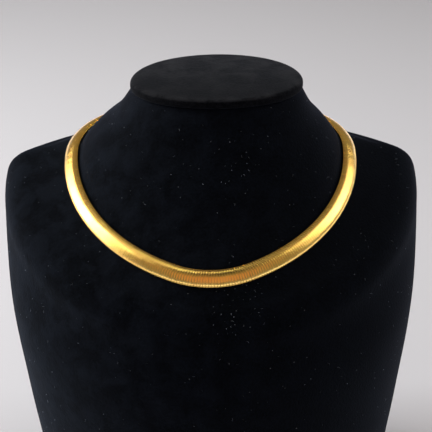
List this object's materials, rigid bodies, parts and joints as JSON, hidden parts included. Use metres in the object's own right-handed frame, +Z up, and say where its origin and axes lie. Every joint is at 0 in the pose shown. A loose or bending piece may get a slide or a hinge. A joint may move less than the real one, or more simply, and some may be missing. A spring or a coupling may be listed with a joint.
{
  "type": "collar choker necklace on a neck bust",
  "caption": "Flat springy collar necklace with a gently domed face and a hidden box clasp, lying round the neck of a plain velvet display bust.",
  "frame": {"origin": "middle of the whole object's box, on the flat base that it stands on", "axes": "+Z up, the chest and the front of the necklace face -Y, +X to the right seen from the front"},
  "size_m": [0.208, 0.1354, 0.2218],
  "materials": {
    "velvet": "black velvet with a short nap",
    "gold": "polished gold tone"
  },
  "bodies": {
    "root": {"velvet_bust": "velvet", "neck_cap": "velvet", "omega_band": "gold", "clasp": "gold"}
  },
  "joints": []
}
